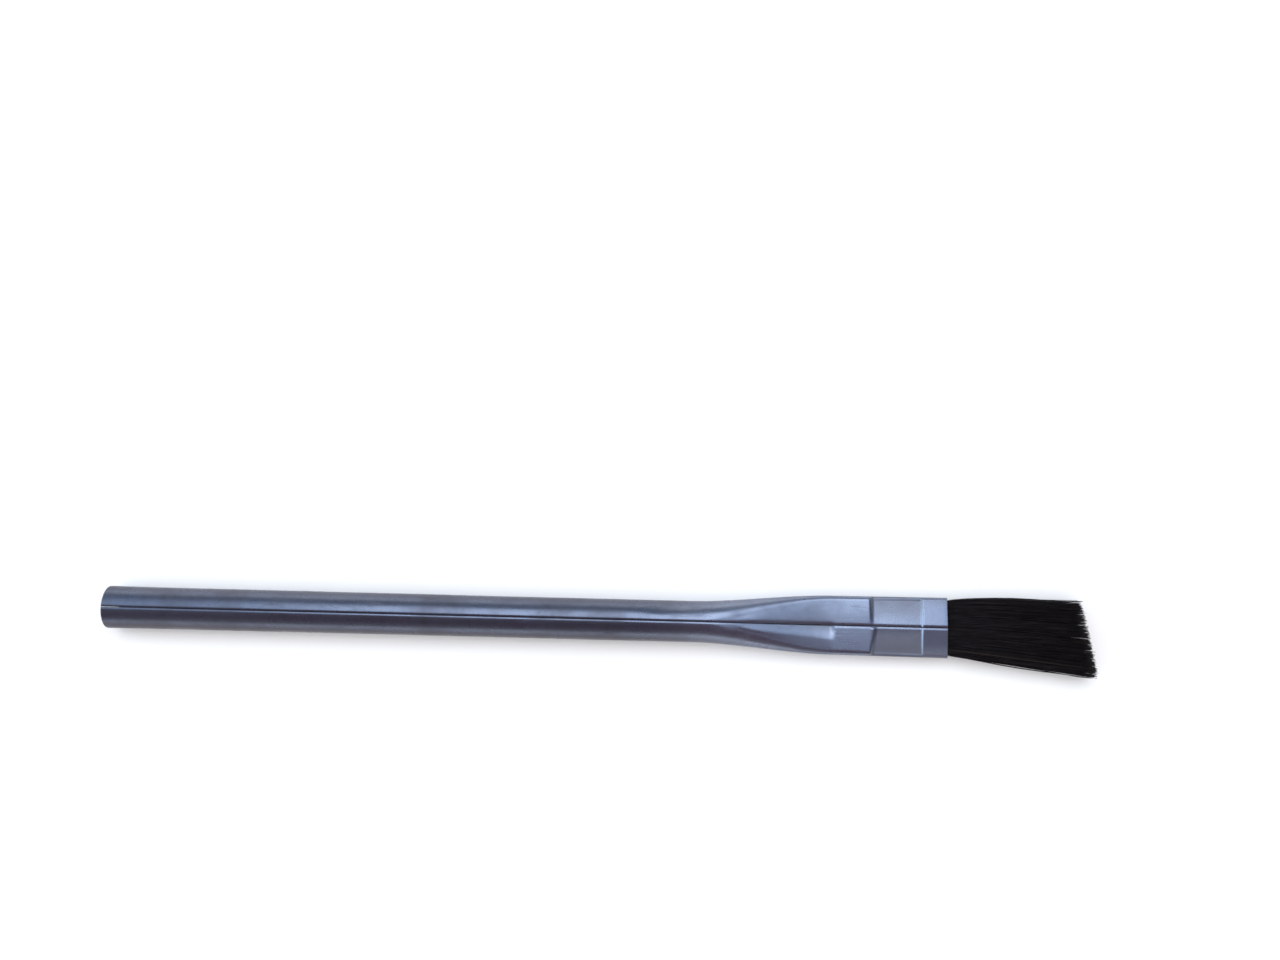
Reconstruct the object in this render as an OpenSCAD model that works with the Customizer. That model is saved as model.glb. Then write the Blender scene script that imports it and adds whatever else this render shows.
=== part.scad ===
// Acid brush: a rolled tinplate tube, pressed flat at one end over a tuft of black horsehair.
// Millimetres. The tube's axis is X, its open end is at x = 0, and its pressed faces look along +Z and -Z.

/* [Tube handle] */
// Length of the tube, from its open end to the ferrule's mouth
tube_l = 129.5; // [105:0.5:200]
// Outer diameter of the round tube
tube_d = 6.35; // [5:0.05:8]
// Thickness of the tinplate sheet
sheet_t = 0.25; // [0.2:0.01:0.3]
// Width of the open slit where the sheet's edges meet
seam_gap = 0.2; // [0.1:0.02:0.4]

/* [Pressed ferrule] */
// Length over which the tube goes from round to flat
taper_l = 22.1; // [16:0.1:34]
// Length of the flat, from the end of the taper to the mouth
ferrule_l = 17.4; // [14.5:0.1:24]
// Thickness over the flat at its rear edge
rear_t = 1.6; // [1.45:0.05:2]
// Thickness over the flat at the mouth
mouth_t = 1.24; // [1.1:0.02:1.5]
// Length of the rear land, behind the crimp
rear_land_l = 5.2; // [3:0.1:7]
// Length of the front land, between the crimp and the mouth
front_land_l = 3.7; // [2:0.1:5]
// Length of each sloping step between a land and the crimp
step_l = 0.9; // [0.5:0.1:1.2]
// Depth that the crimp is pressed into each flat face
crimp_depth = 0.25; // [0.1:0.01:0.3]
// Width of the unpressed rim that the crimp leaves along each edge
crimp_rim = 1.1; // [0.6:0.1:1.6]
// Depth that the seam sinks in the taper
seam_dip = 0.3; // [0:0.05:0.5]

/* [Bristles] */
// Length of the longest bristles outside the mouth
bristle_l = 22.9; // [14:0.1:32]
// Width of the tuft at its tips
tip_w = 10.9; // [9:0.1:15]
// Thickness of the tuft at its tips
tip_t = 3.4; // [2:0.1:5]
// Sideways lean of the tuft's middle at its tips
tip_lean = 1.6; // [0:0.1:3]
// How much shorter the bristles are along the tuft's short edge
tip_skew = 2.3; // [0:0.1:4]
// Number of locks that the free bristles are parted into
lock_count = 12; // [6:1:16]

/* [Clearances] */
// Gap between the bristles' roots and the metal around them
root_clear = 0.02; // [0.01:0.01:0.05]
// Gap between the bristles that bend and the roots that stay
bend_clear = 0.05; // [0.03:0.01:0.08]
// Gap between neighbouring locks
parting = 0.06; // [0.02:0.01:0.15]

/* [Hidden] */
tube_r = tube_d / 2;
bore_r = tube_r - sheet_t;
// The sheet keeps its width when the tube is pressed, so the middle of its thickness is always this far round.
girth = PI * (tube_d - sheet_t);

flat_x = tube_l - ferrule_l;
taper_x = flat_x - taper_l;
crimp_x = flat_x + rear_land_l;
crimp_end_x = tube_l - front_land_l;

mouth_half_gap = mouth_t / 2 - sheet_t;
mouth_half_w = flat_half(mouth_t) + mouth_half_gap;

// The free bristles turn about a line across the mouth, on a round root just outside it.
bend_r = mouth_half_gap - root_clear;
bend_x = tube_l + bend_r + bend_clear;
// The bristles' ends inside the ferrule start a little behind the flat.
root_x = flat_x - 1;
tip_x = tube_l + bristle_l;
// Share by which the tuft is thinner at its two edges than in its middle
edge_thinning = 0.3;

// Where the pressed end joins the round tube, it starts this far inside the tube's end and its two faces.
lap_l = 0.5;
lap = 0.03;

// Steps along the taper and along each step of the crimp, then round each level part and round the bend at its edge
taper_steps = 13;
step_steps = 4;
level_steps = 6;
bend_steps = 8;
half_steps = 2 * level_steps + bend_steps;
// On a section that is nearly round, the level steps still cover this share of half the girth.
least_level = 0.3;

function lock_name(i) = str("bristle_lock_", i < 10 ? "0" : "", i);

function mix(a, b, share) = a + (b - a) * share;

function smooth(s) = let (u = min(max(s, 0), 1)) u * u * (3 - 2 * u);

// Half the width of the level part of a section that is pressed to thickness t
function flat_half(t) = (girth - PI * (t - sheet_t)) / 4;

// Thickness of the pressed tube at x
function pressed_t(x) =
    x < flat_x
        ? mix(tube_d, rear_t, smooth((x - taper_x) / taper_l))
        : mix(rear_t, mouth_t, min((x - flat_x) / ferrule_l, 1));

// Depth of the crimp at x
function crimp_at(x) =
    crimp_depth * (smooth((x - crimp_x) / step_l) - smooth((x - crimp_end_x + step_l) / step_l));

// Depth that the seam sinks at x
function dip_at(x) = x > taper_x && x < flat_x ? seam_dip * sin(180 * (x - taper_x) / taper_l) : 0;

// How far round the sheet step i of half a section lies, as a share of half the girth
function place(i, t) =
    let (level = max(2 * flat_half(t) / girth, least_level))
    i < level_steps
        ? level * i / level_steps
        : i > half_steps - level_steps
            ? 1 - level * (half_steps - i) / level_steps
            : mix(level, 1 - level, (i - level_steps) / bend_steps);

// The point of the section at x that lies s round the sheet from the seam, inset below its outer face.
// It is on the half with y above 0: level, round the edge, then level again underneath.
function half_point(x, s, inset) =
    let (
        t = pressed_t(x),
        level = flat_half(t),
        bend = girth / 2 - 2 * level,
        across = s < level ? s : s < level + bend ? level : girth / 2 - s,
        turn = s < level ? 0 : s < level + bend ? 180 * (s - level) / bend : 180,
        r = t / 2 - inset,
        pressed = crimp_at(x) * smooth((level - across) / crimp_rim),
        sunk = dip_at(x) * exp(-pow(s / tube_r, 2) * 6)
    )
    [x, across + r * sin(turn), cos(turn) * (r - pressed) - sunk];

// The whole section at x as points, from one side of the seam round to the other
function section(x, inset, seam_half) =
    let (
        t = pressed_t(x),
        half = [for (i = [0:half_steps]) half_point(x, mix(seam_half, girth / 2, place(i, t)), inset)]
    )
    concat(half, [for (i = [half_steps - 1:-1:0]) [half[i].x, -half[i].y, half[i].z]]);

// Places along the ferrule where a section is taken
function crimp_stations() = concat(
    [for (i = [0:step_steps]) crimp_x + step_l * i / step_steps],
    [for (i = [0:step_steps]) crimp_end_x - step_l + step_l * i / step_steps]
);

// A skin over rings of equally many points, closed round each ring
function ring_walls(rings, n) = [
    for (k = [0:rings - 2]) for (i = [0:n - 1])
        let (a = k * n + i, b = k * n + (i + 1) % n)
        [b, b + n, a + n, a]
];

// The same cap at the other end of the skin, its points further on by start
function facing_away(cap, start) = [for (f = cap) [for (i = [len(f) - 1:-1:0]) f[i] + start]];

// A cap over one ring of n points, in strips from its upper face to its lower one
function block_cap(n) = concat(
    [for (i = [0:half_steps / 2 - 2]) [half_steps - i, half_steps - i - 1, i + 1, i]],
    [[half_steps / 2 + 1, half_steps / 2, half_steps / 2 - 1]],
    [for (i = [0:half_steps / 2 - 2]) [n - i - 1, half_steps + i + 1, half_steps + i, (n - i) % n]],
    [[n - half_steps / 2, n - half_steps / 2 - 1, n - half_steps / 2 + 1]]
);

// The pressed end of the tube: a strip of sheet whose section goes from round to flat
module pressed_end() {
    stations = concat(
        [taper_x - lap_l],
        [for (i = [1:taper_steps]) taper_x + taper_l * i / taper_steps],
        crimp_stations(),
        [tube_l]
    );
    seam_half = seam_gap / 2 + lap;
    outside = [for (x = stations) section(x, x < taper_x ? lap : 0, seam_half)];
    inside = [for (x = stations) section(x, x < taper_x ? sheet_t - lap : sheet_t, seam_half)];
    n = len(outside[0]);
    rings = len(stations);
    points = [
        for (k = [0:rings - 1])
            each concat(outside[k], [for (i = [n - 1:-1:0]) inside[k][i]])
    ];
    first_cap = [for (i = [0:n - 2]) [2 * n - 1 - i, 2 * n - 2 - i, i + 1, i]];
    start = (rings - 1) * 2 * n;
    last_cap = facing_away(first_cap, start);
    polyhedron(points, concat(first_cap, last_cap, ring_walls(rings, 2 * n)), convexity = 6);
}

module round_tube() {
    difference() {
        rotate([0, 90, 0]) cylinder(r = tube_r, h = taper_x, $fn = 96);
        translate([-1, 0, 0]) rotate([0, 90, 0]) cylinder(r = bore_r, h = taper_x + 2, $fn = 96);
        translate([-1, -seam_gap / 2, 0]) cube([taper_x + 2, seam_gap, tube_d]);
    }
}

module handle_tube() {
    color("#8d94a6") union() {
        round_tube();
        pressed_end();
    }
}

// The ends of all the bristles, squeezed into one block by the ferrule and hollowed where the free bristles turn
module bristle_roots() {
    stations = concat([root_x, flat_x], crimp_stations(), [tube_l, bend_x]);
    rings = [for (x = stations) section(x, sheet_t + root_clear, 0)];
    // The seam's two points are one, so the second is left out.
    n = len(rings[0]) - 1;
    points = [for (ring = rings) for (i = [0:n - 1]) ring[i]];
    start = (len(stations) - 1) * n;
    first_cap = block_cap(n);
    last_cap = facing_away(first_cap, start);
    color("#201d22") difference() {
        polyhedron(points, concat(first_cap, last_cap, ring_walls(len(stations), n)), convexity = 4);
        translate([bend_x, 0, 0]) rotate([90, 0, 0])
            cylinder(r = bend_r + bend_clear, h = 2 * tube_d, center = true, $fn = 64);
    }
}

// One lock of the free bristles. The first lies along the short edge of the tuft, at the highest y.
module bristle_lock(i) {
    near = 1 - 2 * (i - 1) / lock_count;
    far = 1 - 2 * i / lock_count;
    middle = (near + far) / 2;
    tip_half = tip_t / 2 * (1 - edge_thinning * pow(middle, 2));
    gap = parting / 2;
    root_from = near * mouth_half_w - (i > 1 ? gap : 0);
    root_to = far * mouth_half_w + (i < lock_count ? gap : 0);
    tip_from = near * tip_w / 2 - tip_lean - (i > 1 ? gap : 0);
    tip_to = far * tip_w / 2 - tip_lean + (i < lock_count ? gap : 0);
    tip_from_x = tip_x - tip_skew * (near + 1) / 2;
    tip_to_x = tip_x - tip_skew * (far + 1) / 2;
    back_x = bend_x - bend_r - 1;
    back_share = (back_x - bend_x) / (tip_x - bend_x);
    color("#2a262c") intersection() {
        rotate([90, 0, 0]) linear_extrude(height = 3 * tip_w, center = true) union() {
            translate([bend_x, 0]) circle(r = bend_r, $fn = 64);
            // It starts inside the round root, and so meets it at a clear angle.
            polygon([
                [bend_x, -0.96 * bend_r], [tip_x + 1, -tip_half],
                [tip_x + 1, tip_half], [bend_x, 0.96 * bend_r]
            ]);
        }
        linear_extrude(height = 2 * tip_t, center = true) polygon([
            [back_x, root_from + (tip_from - root_from) * back_share],
            [back_x, root_to + (tip_to - root_to) * back_share],
            [tip_to_x, tip_to], [tip_from_x, tip_from]
        ]);
    }
}

handle_tube();
bristle_roots();
for (i = [1:lock_count])
    bristle_lock(i);
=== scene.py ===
"""An acid brush: a rolled tinplate tube, pressed flat and crimped over a tuft of black horsehair."""

import math

import bpy
import numpy as np
from bpy.props import FloatProperty, FloatVectorProperty, IntProperty, PointerProperty
from bpy.types import Operator, Panel, PropertyGroup
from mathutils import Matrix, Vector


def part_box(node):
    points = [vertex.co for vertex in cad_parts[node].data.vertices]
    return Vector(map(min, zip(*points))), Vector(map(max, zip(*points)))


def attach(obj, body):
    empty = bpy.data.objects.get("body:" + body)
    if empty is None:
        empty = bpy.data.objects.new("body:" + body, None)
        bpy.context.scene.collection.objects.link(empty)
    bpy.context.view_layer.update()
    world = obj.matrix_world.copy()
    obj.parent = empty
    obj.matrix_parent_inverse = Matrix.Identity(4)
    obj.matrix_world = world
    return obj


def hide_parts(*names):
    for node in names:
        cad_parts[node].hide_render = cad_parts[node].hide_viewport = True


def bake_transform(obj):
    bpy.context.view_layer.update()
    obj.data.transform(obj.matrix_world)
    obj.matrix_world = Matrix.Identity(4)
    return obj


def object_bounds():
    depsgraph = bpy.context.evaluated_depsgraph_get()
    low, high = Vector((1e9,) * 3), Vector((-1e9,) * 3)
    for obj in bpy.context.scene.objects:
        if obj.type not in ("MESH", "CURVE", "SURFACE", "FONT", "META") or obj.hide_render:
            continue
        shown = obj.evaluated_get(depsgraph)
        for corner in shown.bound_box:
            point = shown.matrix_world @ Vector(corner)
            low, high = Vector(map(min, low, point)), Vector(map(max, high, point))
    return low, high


bl_info = {
    "name": "Acid Brush",
    "version": (1, 0, 0),
    "blender": (4, 5, 0),
    "location": "View3D > Sidebar > Acid Brush",
    "description": "Builds a tinplate acid brush with a tuft of separate hairs",
    "category": "Add Mesh",
}

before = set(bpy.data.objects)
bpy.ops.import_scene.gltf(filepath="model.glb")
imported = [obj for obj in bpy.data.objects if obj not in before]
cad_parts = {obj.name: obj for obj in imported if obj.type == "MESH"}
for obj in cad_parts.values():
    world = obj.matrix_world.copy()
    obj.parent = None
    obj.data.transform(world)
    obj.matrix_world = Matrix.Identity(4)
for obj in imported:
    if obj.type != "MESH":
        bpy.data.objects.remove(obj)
CAD_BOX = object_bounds()

# The tube's length and diameter come from its solid, and the hair's reach from its longest lock.
TUBE_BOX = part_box("handle_tube")
TUBE_L = TUBE_BOX[1][0] - TUBE_BOX[0][0]
TUBE_R = (TUBE_BOX[1][2] - TUBE_BOX[0][2]) / 2
LOCKS = sorted(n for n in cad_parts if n.startswith("bristle_lock_"))
LOCK_BOXES = [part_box(n) for n in LOCKS]
HAIR_REACH = max(b[1][0] for b in LOCK_BOXES) - TUBE_L
TIP_HIGH_Y = max(b[1][1] for b in LOCK_BOXES)
TIP_LOW_Y = min(b[0][1] for b in LOCK_BOXES)

MM = 0.001

# Rounding of the sheet's edges: its depth, its length at both ends, and its width beside the seam.
EDGE_ROUND = 0.07 * MM
RIM_LENGTH = 0.12 * MM
SEAM_ROUND = 0.04 * MM

# Two shallow dents where the press first touched the tube: how far behind the taper, where round the tube from the
# seam in radians, and how deep. Then their spread along the tube and round it.
DENTS = ((5 * MM, 0.62, 0.10 * MM), (1.5 * MM, 0.85, 0.12 * MM))
DENT_LENGTH, DENT_TURN = 2.2 * MM, 0.33

# Where the camera stands, how far it leans back from straight down and how far it is turned, in degrees.
CAMERA_PLACE = (0.0820788, -0.0002590, 0.1799337)
CAMERA_LEAN, CAMERA_TURN = 7, 1.4419


# ---------------------------------------------------------------------------------------------
# Sizes and colours
# ---------------------------------------------------------------------------------------------


def length_prop(name, description, default):
    """A length in metres, shown in the scene's unit."""
    return FloatProperty(
        name=name, description=description, default=default, min=0.0, precision=5, subtype="DISTANCE", unit="LENGTH"
    )


def colour_prop(name, description, default):
    """A colour without alpha."""
    return FloatVectorProperty(
        name=name, description=description, default=default, size=3, min=0.0, max=1.0, subtype="COLOR"
    )


class SheetSizes(PropertyGroup):
    """The rolled and pressed sheet."""

    sheet: length_prop("Sheet", "Thickness of the tinplate", 0.25 * MM)
    seam_gap: length_prop("Seam gap", "Width of the slit between the sheet's edges", 0.04 * MM)
    taper: length_prop("Taper", "Length over which the tube goes from round to flat", 22.1 * MM)
    flat: length_prop("Flat", "Length of the pressed flat", 17.4 * MM)
    rear_t: length_prop("Rear thickness", "Thickness over the flat at its rear edge", 1.6 * MM)
    mouth_t: length_prop("Mouth thickness", "Thickness over the flat at the mouth", 1.24 * MM)
    rear_land: length_prop("Rear land", "Length of the land behind the crimp", 5.2 * MM)
    front_land: length_prop("Front land", "Length of the land in front of the crimp", 3.7 * MM)
    step: length_prop("Step", "Length of the slope between a land and the crimp", 0.9 * MM)
    crimp: length_prop("Crimp", "Depth of the crimp in each face", 0.25 * MM)
    lip_step: length_prop("Front step", "Length of the slope between the crimp and the front land", 0.5 * MM)
    dip: length_prop("Seam dip", "Depth that the seam sinks in the taper", 0.32 * MM)
    crown: length_prop("Crown", "Height of the flat's middle over its edges, in the taper and the rear land", 0.12 * MM)
    roof: length_prop("Roof", "Fall of each half of the crimp away from the seam", 0.38 * MM)


class TuftSizes(PropertyGroup):
    """The hair."""

    hairs: IntProperty(name="Hairs", description="Number of hairs in each lock", default=72, min=8, max=200)
    thick: length_prop("Hair thickness", "Diameter of a hair at its middle", 0.18 * MM)
    depth: length_prop("Tuft thickness", "Thickness of the tuft at its tips", 3.3 * MM)
    root_depth: length_prop("Rooted length", "Length of hair held in the ferrule", 18.4 * MM)


class Finishes(PropertyGroup):
    """Colours."""

    tin: colour_prop("Tin plate", "Cool grey of the plated faces", (0.20, 0.232, 0.31))
    tin_dull: colour_prop("Dull plate", "Where the plate is rubbed and dull", (0.125, 0.13, 0.165))
    # Painted highlight: a brighter copy of the plate for the pressed end, standing in for the stronger reflection of
    # its flat faces.
    tin_painted_highlight: colour_prop("Pressed plate", "Where the press has burnished the plate", (0.355, 0.405, 0.52))
    # Painted shade: a dark brown copy of the plate, laid along the tube's sides where their reflections are dark.
    painted_side_shade: colour_prop("Tarnish", "Brown tarnish along the tube's sides", (0.050, 0.040, 0.048))
    bare: colour_prop("Cut edge", "Bare steel along the sheet's cut edges", (0.16, 0.155, 0.165))
    hair: colour_prop("Hair", "Black horsehair", (0.0045, 0.0035, 0.0045))
    hair_pale: colour_prop("Pale hair", "The few brown hairs", (0.022, 0.017, 0.014))
    floor: colour_prop("Floor", "Pale floor", (0.93, 0.93, 0.93))


# ---------------------------------------------------------------------------------------------
# Shader arithmetic
# ---------------------------------------------------------------------------------------------


class Value:
    """A number that varies over a surface. Arithmetic on it adds Math nodes to its tree."""

    def __init__(self, nodes, socket):
        self.nodes, self.socket = nodes, socket

    def _math(self, operation, first, second):
        return self.nodes.add("ShaderNodeMath", {"operation": operation}, {0: first, 1: second})

    def __add__(self, other):
        return self._math("ADD", self, other)

    def __sub__(self, other):
        return self._math("SUBTRACT", self, other)

    def __rsub__(self, other):
        return self._math("SUBTRACT", other, self)

    def __mul__(self, other):
        return self._math("MULTIPLY", self, other)

    __radd__, __rmul__ = __add__, __mul__

    def between(self, low, high):
        """0 below low, 1 above high, smooth in between."""
        settings = {"interpolation_type": "SMOOTHSTEP"}
        return self.nodes.add("ShaderNodeMapRange", settings, {"Value": self, "From Min": low, "From Max": high})


class Nodes:
    """A material's or the world's node tree, emptied."""

    def __init__(self, owner):
        owner.use_nodes = True
        self.tree = owner.node_tree
        self.tree.nodes.clear()

    def add(self, kind, settings=None, values=None, out=0):
        """Adds a node of that type: its settings first, then the values or links of its sockets. Gives its output."""
        node = self.tree.nodes.new(kind)
        for key, setting in (settings or {}).items():
            setattr(node, key, setting)
        for key, value in (values or {}).items():
            socket = node.inputs[key]
            if isinstance(value, Value):
                self.tree.links.new(value.socket, socket)
            else:
                socket.default_value = value
        return Value(self, node.outputs[out]) if len(node.outputs) else node

    def mixed(self, share, first, second):
        """The first colour where share is 0 and the second where it is 1."""
        colours = [c if isinstance(c, Value) else (*c, 1.0) for c in (first, second)]
        # Its colour inputs are the seventh and eighth.
        values = {0: share, 6: colours[0], 7: colours[1]}
        return self.add("ShaderNodeMix", {"data_type": "RGBA"}, values, out=2)

    def placed(self, scale=(1, 1, 1)):
        """The object's own coordinates, stretched by scale."""
        place = self.add("ShaderNodeTexCoord", out=3)
        return self.add("ShaderNodeMapping", {}, {"Vector": place, "Scale": scale})

    def noise(self, where, scale, detail=3.0, roughness=0.55):
        values = {"Vector": where, "Scale": scale, "Detail": detail, "Roughness": roughness}
        return self.add("ShaderNodeTexNoise", {}, values)

    def attribute(self, name):
        """A number stored at each vertex."""
        return self.add("ShaderNodeAttribute", {"attribute_name": name}, out=2)


def tinplate_material(look):
    """Tin plate: satin, with rolled lines along the sheet, cloudy mottling, rubbed marks and bare cut edges."""
    material = bpy.data.materials.new("satin_tinplate")
    n = Nodes(material)
    cloud = n.noise(n.placed(), 170.0, 5.0, 0.6)
    speck = n.noise(n.placed((1, 1.6, 1.6)), 900.0, 4.0, 0.65)
    drawn = n.noise(n.placed((0.035, 1, 1)), 4200.0, 2.0, 0.5)
    scuffs = n.noise(n.placed((0.3, 1, 1)), 420.0, 6.0, 0.7)
    cut = n.attribute("cut_edge")
    painted_ferrule_highlight = n.attribute("painted_ferrule_highlight")
    inside = n.attribute("inside")
    painted_side_shade = n.attribute("painted_side_shade")

    dull = cloud.between(0.42, 0.66) * 0.5 + speck.between(0.45, 0.7) * 0.22 + scuffs.between(0.56, 0.68) * 0.3
    plate = n.mixed(dull, look.tin, look.tin_dull)
    # Painted highlight: the pressed end is painted in a brighter copy of the plate.
    plate = n.mixed(painted_ferrule_highlight * (0.9 - dull * 0.35), plate, look.tin_painted_highlight)
    # Painted shade: where the plate turns down at the sides it is painted dark brown and made less metallic.
    plate = n.mixed(painted_side_shade * 0.9, plate, look.painted_side_shade)
    plate = n.mixed(inside * 0.6, plate, [c * 0.6 for c in look.tin_dull])
    colour = n.mixed(cut, plate, look.bare)

    rough = 0.22 + cloud.between(0.3, 0.75) * 0.12 + scuffs.between(0.55, 0.7) * 0.14 + drawn * 0.06
    rough = rough + inside * 0.15 + cut * 0.12
    height = drawn * 0.35 + speck * 0.3 + cloud * 0.55 + scuffs.between(0.55, 0.72) * -0.25
    bump = n.add("ShaderNodeBump", {}, {"Strength": 0.22, "Distance": 0.00006, "Height": height})
    values = {
        "Base Color": colour,
        "Metallic": 1.0 - painted_side_shade * 0.75,
        "Roughness": rough,
        "Normal": bump,
        "Specular Tint": (0.6, 0.6, 0.66, 1),
    }
    shader = n.add("ShaderNodeBsdfPrincipled", {}, values)
    n.add("ShaderNodeOutputMaterial", {}, {"Surface": shader})
    return material


def horsehair_material(look):
    """Horsehair: near black, with a weak cold sheen, a little lighter towards worn tips and on a few brown hairs."""
    material = bpy.data.materials.new("black_horsehair")
    n = Nodes(material)
    tone = n.attribute("tone")
    along = n.attribute("along")
    grain = n.noise(n.placed((0.12, 1, 1)), 2600.0, 3.0, 0.6)
    colour = n.mixed(tone.between(0.93, 0.99), look.hair, look.hair_pale)
    colour = n.mixed(grain.between(0.4, 0.75) * 0.4 + along.between(0.9, 1.0) * 0.25, colour, (0.02, 0.017, 0.02))
    rough = 0.44 + grain * 0.14 + tone * 0.06
    bump = n.add("ShaderNodeBump", {}, {"Strength": 0.3, "Distance": 0.00002, "Height": grain})
    shader = n.add(
        "ShaderNodeBsdfPrincipled",
        {},
        {"Base Color": colour, "Roughness": rough, "Normal": bump, "Specular IOR Level": 0.14},
    )
    n.add("ShaderNodeOutputMaterial", {}, {"Surface": shader})
    return material


def material_named(name):
    """The finish of that name, made the first time it is asked for."""
    made = {"satin_tinplate": tinplate_material, "black_horsehair": horsehair_material, "pale_floor": floor_material}
    return bpy.data.materials.get(name) or made[name](bpy.context.scene.brush_finishes)


# ---------------------------------------------------------------------------------------------
# Surfaces
# ---------------------------------------------------------------------------------------------


def smooth(value, low=0.0, high=1.0):
    """3u^2 - 2u^3, where u is how far value lies from low to high, held from 0 to 1."""
    u = np.clip((value - low) / (high - low), 0.0, 1.0)
    return u * u * (3 - 2 * u)


def grid_faces(rows, columns, start=0):
    """Quads of a grid that is closed round its columns, corner numbers counted on from start."""
    r, c = np.meshgrid(np.arange(rows - 1), np.arange(columns), indexing="ij")
    here = start + r * columns + c
    beside = start + r * columns + (c + 1) % columns
    return np.stack([here, beside, beside + columns, here + columns], -1).reshape(-1, 4)


def mesh_piece(name, points, quads, caps=(), numbers=None):
    """A smooth-shaded object from points, quads and larger end faces, with a number stored at each vertex per name."""
    mesh = bpy.data.meshes.new(name)
    mesh.from_pydata(points.reshape(-1, 3), [], [*quads.tolist(), *caps])
    mesh.validate()
    for key, values in (numbers or {}).items():
        stored = mesh.attributes.new(key, "FLOAT", "POINT")
        stored.data.foreach_set("value", np.asarray(values, np.float32).ravel())
    mesh.shade_smooth()
    piece = bpy.data.objects.new(name, mesh)
    bpy.context.collection.objects.link(piece)
    return piece


class PressedSheet:
    """The sheet's section along the brush. All lengths are in metres.

    A section pressed to thickness t is two level parts joined by half circles. The sheet keeps its width, so the
    middle of its thickness is always girth = pi (D - sheet) round, and half of each level part is
    (girth - pi (t - sheet)) / 4 wide.
    """

    def __init__(self, sizes):
        self.s = sizes
        self.girth = 2 * math.pi * (TUBE_R - sizes.sheet / 2)
        self.flat_x = TUBE_L - sizes.flat
        self.taper_x = self.flat_x - sizes.taper
        self.crimp_x = self.flat_x + sizes.rear_land
        self.crimp_end_x = TUBE_L - sizes.front_land

    def level(self, t):
        return (self.girth - math.pi * (t - self.s.sheet)) / 4

    def thickness(self, x):
        """Eased from round to the rear thickness over the taper, then straight to the mouth's."""
        s = self.s
        eased = 2 * TUBE_R + (s.rear_t - 2 * TUBE_R) * smooth(x, self.taper_x, self.flat_x)
        straight = s.rear_t + (s.mouth_t - s.rear_t) * np.clip((x - self.flat_x) / s.flat, 0, 1)
        return np.where(x < self.flat_x, eased, straight)

    def pressed(self, x, y):
        """Depth of the crimp: one smooth step down and one up, the rear one bowed on the low side of the seam."""
        s = self.s
        bow = np.where(y < 0, 0.55 * MM * np.cos(np.clip(y / (4.2 * MM), -1, 1) * math.pi / 2), 0.0)
        down = smooth(x - bow * smooth(-y, 0, 0.4 * MM), self.crimp_x, self.crimp_x + s.step)
        up = smooth(x, self.crimp_end_x - s.lip_step, self.crimp_end_x)
        return s.crimp * (down - up)

    def ridge(self, x, y):
        """The faces aren't quite level: crowned in the taper and rear land, then a shallow roof from the crimp on."""
        share = np.abs(y) / np.maximum(self.level(self.thickness(x)), 1 * MM)
        roofed = smooth(x, self.crimp_x, self.crimp_x + self.s.step)
        crowned = smooth(x, self.taper_x, self.taper_x + 8 * MM) * (1 - roofed)
        level_side = np.where(y < 0, 1 - 0.6 * smooth(x, self.flat_x - 2 * MM, self.flat_x), 1.0)
        return self.s.crown * crowned * level_side * (1 / 3 - share**2) + self.s.roof * roofed * (0.5 - share)

    def sunk(self, x, around, side):
        """Depth that the seam sinks in the taper: a valley that stops short at the flat.

        It is narrow on the high side. On the low side it opens forwards as a wedge, from a half to over two
        millimetres.
        """
        start = self.taper_x + 0.12 * self.s.taper
        grown = smooth(x, start, start + 7 * MM) * (1 - smooth(x, self.flat_x - 0.8 * MM, self.flat_x + 0.2 * MM))
        wedge = (0.5 + 1.9 * np.clip((x - start) / (self.flat_x - start), 0, 1)) * MM
        narrow = 0.22 * np.exp(-((around / (0.35 * MM)) ** 2))
        wide = 1 - smooth(around, 0.0, wedge)
        return self.s.dip * grown * np.where(side > 0, narrow, wide * (wedge / (2.4 * MM)))

    def around(self, x, share):
        """How far round the sheet from the seam each share of half a section lies, 0 at the seam and 1 opposite.

        The shares below low and above high are spent on the level parts and the rest on the bend, evenly in each.
        """
        half = self.girth / 2
        level = np.maximum(self.level(self.thickness(x)) / half, 0.3)
        low, high = 0.32, 0.68
        on_bend = level + (1 - 2 * level) * (share - low) / (high - low)
        placed = np.where(
            share < low,
            level * share / low,
            np.where(share > high, 1 - level * (1 - share) / low, on_bend),
        )
        edge = (self.s.seam_gap / 2) * (1 + 0.9 * smooth(x, self.taper_x, self.flat_x))
        return edge + (half - edge) * placed

    def point(self, x, around, side, inset):
        """The point at x, so far round on side +1 or -1 of the seam, inset below the outer face."""
        t = self.thickness(x)
        level = self.level(t)
        half = self.girth / 2
        bend = half - 2 * level
        on_top, on_bend = around < level, around < level + bend
        across = np.where(on_top, around, np.where(on_bend, level, half - around))
        turn = np.where(on_top, 0.0, np.where(on_bend, math.pi * (around - level) / bend, math.pi))
        # The back of the flat has no seam, so it is pressed as one straight panel. The crimp runs out round the bend.
        front = np.cos(turn) > 0
        signed = np.where(front, side * across, np.abs(across))
        from_level = np.minimum(turn, math.pi - turn) / (math.pi / 2)
        r = t / 2 - inset - self.pressed(x, signed) * (1 - smooth(from_level, 0.1, 0.95))
        y = across + r * np.sin(turn)
        roof = self.ridge(x, signed)
        z = np.cos(turn) * (r + roof) - self.sunk(x, around, side)
        return np.stack([x, side * y, z], -1)


def wavy(x, angle, seeds):
    """A few long low waves over the handle: the sum of size sin(x / length + phase) cos(turns angle + 1.7 phase)."""
    return sum(
        size * np.sin(x / length + phase) * np.cos(turns * angle + phase * 1.7) for length, turns, size, phase in seeds
    )


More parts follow.
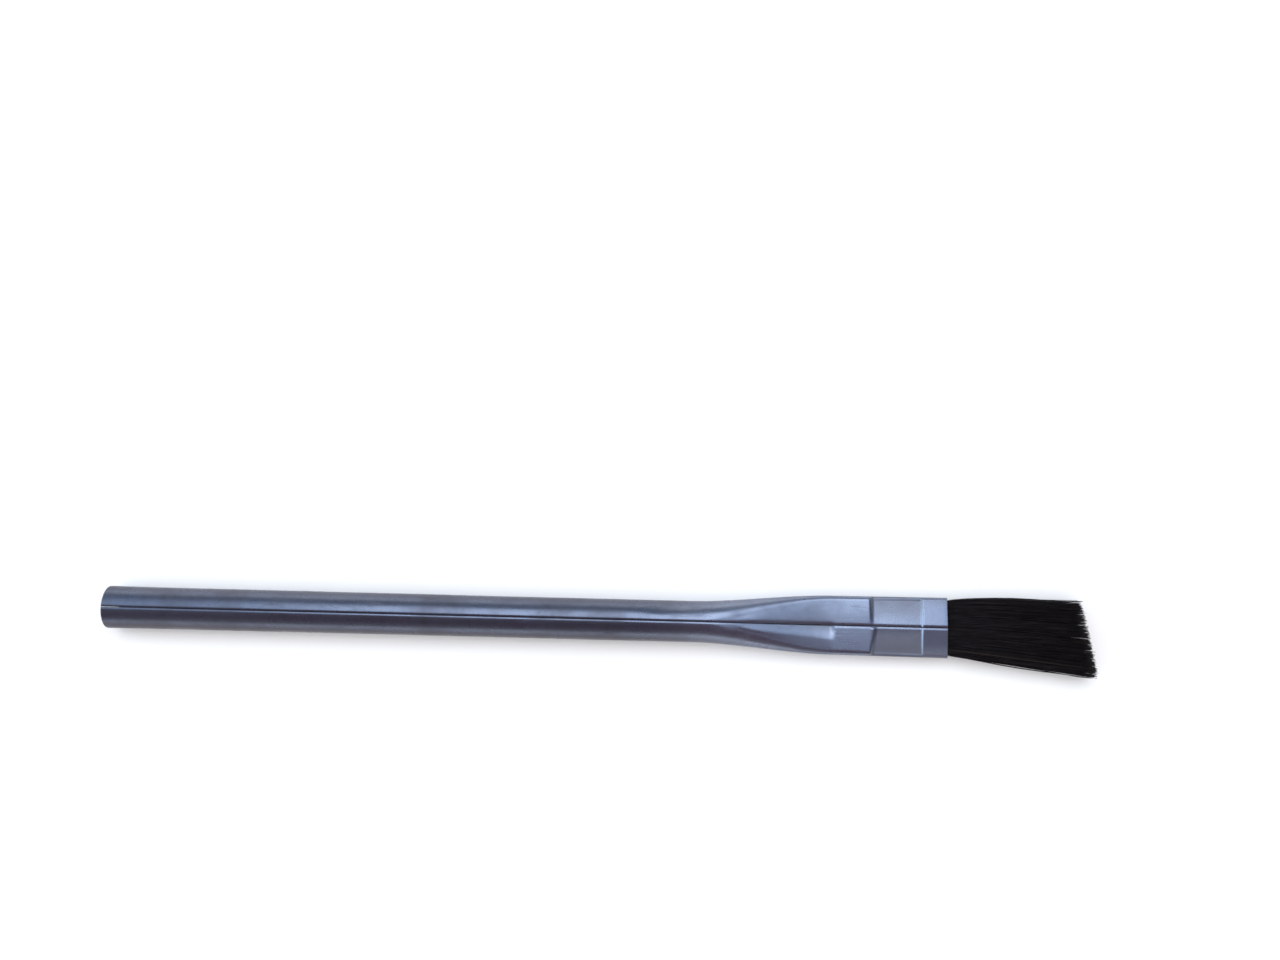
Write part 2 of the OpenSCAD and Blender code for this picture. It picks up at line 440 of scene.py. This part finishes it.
def handle_stations(sheet):
    """Places along the brush where a section is taken: close together where the shape turns quickly."""
    s = sheet.s
    spans = [
        (0.0, RIM_LENGTH, 5),
        (RIM_LENGTH, 1.5 * MM, 4),
        (1.5 * MM, sheet.taper_x - 10 * MM, 32),
        (sheet.taper_x - 10 * MM, sheet.flat_x - 2 * MM, 64),
        (sheet.flat_x - 2 * MM, sheet.flat_x + 0.4 * MM, 16),
        (sheet.flat_x + 0.4 * MM, sheet.crimp_x - 0.2 * MM, 8),
        (sheet.crimp_x - 0.2 * MM, sheet.crimp_x + s.step + 0.8 * MM, 20),
        (sheet.crimp_x + s.step + 0.8 * MM, sheet.crimp_end_x - s.step - 0.2 * MM, 8),
        (sheet.crimp_end_x - s.step - 0.2 * MM, sheet.crimp_end_x + 0.2 * MM, 18),
        (sheet.crimp_end_x + 0.2 * MM, TUBE_L - RIM_LENGTH, 6),
        (TUBE_L - RIM_LENGTH, TUBE_L, 5),
    ]
    places = [np.linspace(a, b, n, endpoint=False) for a, b, n in spans]
    return np.concatenate([*places, [TUBE_L]])


def handle_sheet(sizes):
    """Points, faces and stored numbers of the tube.

    One loop runs round the strip's own thin section: the outer face from one seam edge to the other, a rounded
    edge, the inner face back, and a rounded edge. It is carried along the brush, and at both ends the two faces
    close up to a rounded rim.
    """
    sheet = PressedSheet(sizes)
    x = handle_stations(sheet)
    half = np.linspace(0, 1, 66)
    share = np.concatenate([half, half[-2::-1]])
    side = np.concatenate([np.ones(half.size), -np.ones(half.size - 1)])
    n = share.size

    # How far in from each face the loop lies: the rims and the seam's edges are rounded off.
    from_end = np.minimum(x, TUBE_L - x)
    rim = EDGE_ROUND * (1 - np.sqrt(1 - (1 - np.clip(from_end / RIM_LENGTH, 0, 1)) ** 2))

    xs = np.repeat(x[:, None], n, 1)
    around = sheet.around(xs, np.repeat(share[None], x.size, 0))
    sides = np.repeat(side[None], x.size, 0)
    to_seam = np.minimum(np.arange(n), n - 1 - np.arange(n))
    edge = EDGE_ROUND * np.where(to_seam == 0, 1.0, np.where(to_seam == 1, 0.25, 0.0))
    around = np.where(to_seam == 1, around[:, :1] + SEAM_ROUND, around)
    outer = sheet.point(xs, around, sides, rim[:, None] + edge)
    inner = sheet.point(xs, around, sides, sizes.sheet - rim[:, None] - edge)

    points = np.concatenate([outer, inner[:, ::-1]], 1)
    angle = np.arctan2(points[..., 1], points[..., 2])
    waves = wavy(
        points[..., 0],
        angle,
        [(9 * MM, 1, 0.012 * MM, 0.3), (4.1 * MM, 2, 0.008 * MM, 2.1), (17 * MM, 2, 0.015 * MM, 4.0)],
    )
    for behind, turn, deep in DENTS:
        place = sheet.taper_x - behind
        near = ((points[..., 0] - place) / DENT_LENGTH) ** 2 + ((angle - turn) / DENT_TURN) ** 2
        waves = waves - deep * np.exp(-near)
    # The rear end is opened a little by the cutter.
    waves = waves + 0.06 * MM * np.exp(-points[..., 0] / (5 * MM))
    fade = 1 - smooth(points[..., 0], sheet.taper_x + 4 * MM, sheet.flat_x - 6 * MM)
    out = np.stack([np.zeros_like(angle), np.sin(angle), np.cos(angle)], -1)
    points = points + out * (waves * fade)[..., None]

    quads = grid_faces(x.size, 2 * n)[:, ::-1]
    last = (x.size - 1) * 2 * n
    i = np.arange(n - 1)
    rear = np.stack([i, 2 * n - 1 - i, 2 * n - 2 - i, i + 1], -1)[:, ::-1]
    mouth = rear[:, ::-1] + last
    inside = np.repeat(np.concatenate([np.zeros(n), np.ones(n)])[None], x.size, 0)
    cut = np.maximum(np.tile(to_seam == 0, 2)[None] * 1.0, (from_end < 0.06 * MM)[:, None] * 1.0)
    # Painted highlight: from the taper on, the pressed end is painted brighter.
    painted_ferrule_highlight = smooth(points[..., 0], sheet.taper_x - 10 * MM, sheet.taper_x + 10 * MM)
    # Painted shade: the plate is painted dark brown and made less metallic where it turns down at the sides, more so on
    # the low side, standing in for the dark reflections there.
    turned = 1 - np.abs(points[..., 2]) / (sheet.thickness(points[..., 0]) / 2)
    painted_side_shade = smooth(turned, 0.04, 0.55) * np.where(points[..., 1] < 0, 1.0, 0.7) * (1 - 0.35 * painted_ferrule_highlight)
    numbers = {"inside": inside, "cut_edge": cut, "painted_ferrule_highlight": painted_ferrule_highlight, "painted_side_shade": painted_side_shade}
    return points, np.concatenate([quads, rear, mouth]), numbers


def lock_of_hair(index, sheet, tuft, rng):
    """Points, faces and stored numbers of one lock.

    Each hair is a tapered tube with five sides, carried along its own path. Its path starts behind the flat,
    keeps its share of the slot's width and height through the crimp, and leaves the mouth along the brush. From
    there it turns towards its own tip: y and z go from the mouth's to the tip's as a power of the way out.
    """
    count, sides = tuft.hairs, 5
    locks = len(LOCKS)
    columns = 4
    rows = math.ceil(count / columns)
    number = np.arange(count)
    column, row = number % columns, number // columns
    wide = 1 - 2 * (index + (column + 0.5 + rng.uniform(-0.45, 0.45, count)) / columns) / locks
    high = -1 + 2 * (row + 0.5 + rng.uniform(-0.45, 0.45, count)) / rows
    tone = rng.uniform(0, 1, count)

    # Where the hair ends: shorter towards the high-y edge, rounded off at both corners, ragged by a little.
    skew = (LOCK_BOXES[-1][1][0] - LOCK_BOXES[0][1][0]) * locks / (locks - 1)
    ragged = np.clip(rng.normal(0, 0.12 * MM, count), -0.35 * MM, 0.25 * MM)
    ragged = ragged - np.where(rng.uniform(0, 1, count) < 0.035, rng.uniform(0.3, 1.2, count) * MM, 0)
    corner = np.where(wide > 0, 0.25, 0.6) * MM * smooth(np.abs(wide), 0.88, 1.0) ** 2 + 0.4 * MM * np.abs(high) ** 3
    reach = HAIR_REACH - skew * (wide + 1) / 2 - corner + ragged

    # The rows of rings along each hair: five in the ferrule and ten outside.
    step = sheet.s.step
    held = [TUBE_L - tuft.root_depth, sheet.crimp_x, sheet.crimp_x + step, sheet.crimp_end_x - step, sheet.crimp_end_x]
    held = np.array(held)
    out = np.array([0.0, 0.05, 0.13, 0.24, 0.37, 0.51, 0.65, 0.78, 0.9, 1.0])
    x = np.concatenate([np.repeat(held[None], count, 0), TUBE_L + out[None] * reach[:, None]], 1)
    way = np.concatenate([np.zeros((count, held.size)), np.repeat(out[None], count, 0)], 1)

    # The slot's half width and half height at each ring, less a hair's own size.
    inside_x = np.minimum(x, TUBE_L)
    t = sheet.thickness(inside_x)
    slot_w = sheet.level(t) + (t / 2 - sheet.s.sheet) * 0.75
    y_in = wide[:, None] * (slot_w - 0.1 * MM)
    beyond = np.clip(np.abs(y_in) - sheet.level(t), 0, None) / (t / 2 - sheet.s.sheet)
    slot_h = (t / 2 - sheet.s.sheet) * np.sqrt(1 - np.clip(beyond, 0, 0.9) ** 2)
    slot_h = slot_h - sheet.pressed(inside_x, np.abs(y_in)) - 0.09 * MM
    z_in = high[:, None] * np.clip(slot_h, 0.02 * MM, None)

    # The tuft's outline at its tips, and each hair's own wander.
    tip_y = (TIP_HIGH_Y + TIP_LOW_Y) / 2 + wide * (TIP_HIGH_Y - TIP_LOW_Y) / 2 * 0.975
    tip_y = tip_y + rng.normal(0, 0.22 * MM, count)
    belly = 1 - 0.3 * wide**2
    tip_z = high * tuft.depth / 2 * belly + rng.normal(0, 0.16 * MM, count)
    swing = rng.uniform(0.9, 1.35, count)[:, None]
    y = y_in + (tip_y[:, None] - y_in) * way**swing
    z = z_in + (tip_z[:, None] - z_in) * way ** (swing * 0.92)
    # The high side swells a little as soon as it leaves the mouth.
    y = y + 0.42 * MM * smooth(wide, 0.2, 1.0)[:, None] * np.clip(np.sin(math.pi * way**0.6), 0, None) ** 1.2
    wander = rng.normal(0, 0.1 * MM, (2, count, 1)) * np.sin(math.pi * way) ** 2
    wave = rng.uniform(3, 7, (count, 1)) * way + rng.uniform(0, 6.3, (count, 1))
    y = y + wander[0] + 0.05 * MM * np.sin(wave) * way
    z = z + wander[1] + 0.05 * MM * np.cos(wave) * way

    # A stray hair now and then leaves the tuft's high-y edge and its faces.
    stray = (rng.uniform(0, 1, count) < (0.10 if index < 2 else 0.025)) * rng.uniform(0.4, 1.0, count)
    y = y + (stray * (0.75 if index < 2 else rng.normal(0, 0.3)) * MM)[:, None] * way**2.2
    z = z + (stray * rng.normal(0, 0.5, count) * MM)[:, None] * way**2
    y = np.clip(y, TIP_LOW_Y - 0.1 * MM, None)

    centre = np.stack([x, y, z], -1)
    own = tuft.thick / 2 * rng.uniform(0.8, 1.2, count)[:, None]
    radius = own * (0.62 + 0.38 * smooth(way, 0, 0.2)) * (1 - 0.62 * way**2.5)
    turn = np.linspace(0, 2 * math.pi, sides, endpoint=False)
    ring = np.stack([np.zeros(sides), np.cos(turn), np.sin(turn)], -1)
    points = centre[:, :, None] + radius[:, :, None, None] * ring[None, None]

    rings = x.shape[1]
    one = grid_faces(rings, sides)
    starts = np.arange(count) * rings * sides
    quads = (one[None] + starts[:, None, None]).reshape(-1, 4)
    root_cap = np.arange(sides)[::-1][None] + starts[:, None]
    tip_cap = np.arange(sides)[None] + (rings - 1) * sides + starts[:, None]
    tones = np.broadcast_to(tone[:, None, None], points.shape[:3])
    ways = np.broadcast_to(way[:, :, None], points.shape[:3])
    caps = [*root_cap.tolist(), *tip_cap.tolist()]
    return points, quads, caps, {"tone": tones, "along": ways}


# ---------------------------------------------------------------------------------------------
# Stage
# ---------------------------------------------------------------------------------------------


def floor_material(look):
    """The floor: a matt pale board with the faintest cloudiness, glowing softly beyond the reach of the lamps."""
    material = bpy.data.materials.new("pale_floor")
    n = Nodes(material)
    cloud = n.noise(n.placed(), 3.0, 2.0)
    colour = n.mixed(cloud, look.floor, [min(1.0, c * 1.01) for c in look.floor])
    far = n.add("ShaderNodeVectorMath", {"operation": "LENGTH"}, {0: n.placed()}, out=1).between(0.3, 1.0)
    values = {
        "Base Color": n.mixed(far, colour, (0.0, 0.0, 0.0)),
        "Emission Color": n.mixed(far, (0.0, 0.0, 0.0), (1.0, 1.0, 1.0)),
        "Emission Strength": 1.0,
        "Roughness": 0.9,
        "Specular IOR Level": 0.0,
    }
    shader = n.add("ShaderNodeBsdfPrincipled", {}, values)
    n.add("ShaderNodeOutputMaterial", {}, {"Surface": shader})
    return material


def studio_world():
    """A soft room: white round the horizon, overhead bright on the far side and dim on the near side.

    Along the brush it is brightest behind the handle and dim beyond the tuft.
    """
    world = bpy.data.worlds.new("studio")
    bpy.context.scene.world = world
    n = Nodes(world)
    direction = n.add("ShaderNodeTexCoord", out=0)
    apart = n.tree.nodes.new("ShaderNodeSeparateXYZ")
    n.tree.links.new(direction.socket, apart.inputs[0])
    along, across, height = (Value(n, apart.outputs[i]) for i in range(3))
    overhead = n.mixed(across.between(-0.1, 0.06), (0.17, 0.115, 0.14), (0.60, 0.71, 0.90))
    overhead = n.mixed(across.between(0.35, 0.85), overhead, (0.24, 0.27, 0.35))
    overhead = n.mixed(along.between(0.45, 0.7), overhead, (0.10, 0.10, 0.14))
    overhead = n.mixed(along.between(-0.8, -0.6), (1.4, 1.75, 2.0), overhead)
    colour = n.mixed(height.between(0.13, 0.26), (1.0, 1.0, 1.0), overhead)
    background = n.add("ShaderNodeBackground", {}, {"Color": colour, "Strength": 1.0})
    n.add("ShaderNodeOutputWorld", {}, {"Surface": background})


def soft_lamp(name, place, turn, size, power, colour=(1, 1, 1)):
    """A square area lamp of that side, in metres, turned by that many degrees about X, Y and Z."""
    lamp = bpy.data.lights.new(name, "AREA")
    lamp.size, lamp.energy, lamp.color = size, power, colour
    held = bpy.data.objects.new(name, lamp)
    held.location = place
    held.rotation_euler = [math.radians(t) for t in turn]
    bpy.context.collection.objects.link(held)
    return held


# ---------------------------------------------------------------------------------------------
# Operators
# ---------------------------------------------------------------------------------------------


class BRUSH_OT_handle(Operator):
    """Makes the tinplate tube with its pressed and crimped end"""

    bl_idname = "brush.handle"
    bl_label = "Tinplate Handle"

    def execute(self, context):
        points, quads, numbers = handle_sheet(context.scene.brush_sheet)
        piece = mesh_piece("tinplate_handle", points, quads, numbers=numbers)
        piece.data.materials.append(material_named("satin_tinplate"))
        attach(piece, "handle")
        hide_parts("handle_tube")
        return {"FINISHED"}


class BRUSH_OT_hair(Operator):
    """Makes the tuft: every lock of hair, each hair a tapered strand from inside the ferrule to its tip"""

    bl_idname = "brush.hair"
    bl_label = "Horsehair Tuft"

    def execute(self, context):
        sheet = PressedSheet(context.scene.brush_sheet)
        tuft = context.scene.brush_tuft
        for index, node in enumerate(LOCKS):
            rng = np.random.default_rng(4100 + index)
            points, quads, caps, numbers = lock_of_hair(index, sheet, tuft, rng)
            piece = mesh_piece(f"horsehair_{index + 1:02d}", points, quads, caps, numbers)
            piece.data.materials.append(material_named("black_horsehair"))
            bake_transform(piece)
            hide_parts(node, "bristle_roots")
        return {"FINISHED"}


class BRUSH_OT_stage(Operator):
    """Makes the floor, the soft light and the camera"""

    bl_idname = "brush.stage"
    bl_label = "Floor, Light and Camera"

    def execute(self, context):
        size = 4.0
        corners = np.array([(-1, -1), (1, -1), (1, 1), (-1, 1)]) * size
        low = CAD_BOX[0][2] - 0.05 * MM
        points = np.column_stack([corners, np.full(4, low)])
        floor = mesh_piece("floor", points, np.array([[0, 1, 2, 3]]))
        floor.data.materials.append(material_named("pale_floor"))
        studio_world()
        soft_lamp("window", (0.07, 0.25, 0.55), (-24, 0, 0), 0.42, 0.75, (0.93, 0.96, 1.0))
        # The fill lights the floor and the hair but leaves the metal's reflections alone.
        fill = soft_lamp("fill", (0.07, 0.0, 1.2), (0, 0, 0), 1.6, 14.2, (1.0, 0.968, 0.91))
        fill.visible_glossy = False
        camera = bpy.data.cameras.new("camera")
        camera.lens, camera.sensor_width = 32.5, 36.0
        camera.clip_start = 0.01
        held = bpy.data.objects.new("camera", camera)
        held.location = CAMERA_PLACE
        held.rotation_euler = (math.radians(CAMERA_LEAN), 0, math.radians(CAMERA_TURN))
        context.collection.objects.link(held)
        context.scene.camera = held
        context.scene.view_settings.view_transform = "Standard"
        return {"FINISHED"}


class BRUSH_PT_build(Panel):
    """Lists the steps that build the brush"""

    bl_label = "Acid Brush"
    bl_idname = "BRUSH_PT_build"
    bl_space_type = "VIEW_3D"
    bl_region_type = "UI"
    bl_category = "Acid Brush"

    def draw(self, context):
        for group in (context.scene.brush_sheet, context.scene.brush_tuft, context.scene.brush_finishes):
            box = self.layout.box()
            for key in group.__annotations__:
                box.prop(group, key)
        for step in OPERATORS:
            self.layout.operator(step.bl_idname)


GROUPS = {"brush_sheet": SheetSizes, "brush_tuft": TuftSizes, "brush_finishes": Finishes}
OPERATORS = (BRUSH_OT_stage, BRUSH_OT_handle, BRUSH_OT_hair)


def register():
    for made in (*GROUPS.values(), *OPERATORS, BRUSH_PT_build):
        bpy.utils.register_class(made)
    for name, group in GROUPS.items():
        setattr(bpy.types.Scene, name, PointerProperty(type=group))


def unregister():
    for name in GROUPS:
        delattr(bpy.types.Scene, name)
    for made in (BRUSH_PT_build, *OPERATORS, *GROUPS.values()):
        bpy.utils.unregister_class(made)


def main():
    register()
    bpy.ops.brush.stage()
    bpy.ops.brush.handle()
    bpy.ops.brush.hair()


if __name__ == "__main__":
    main()
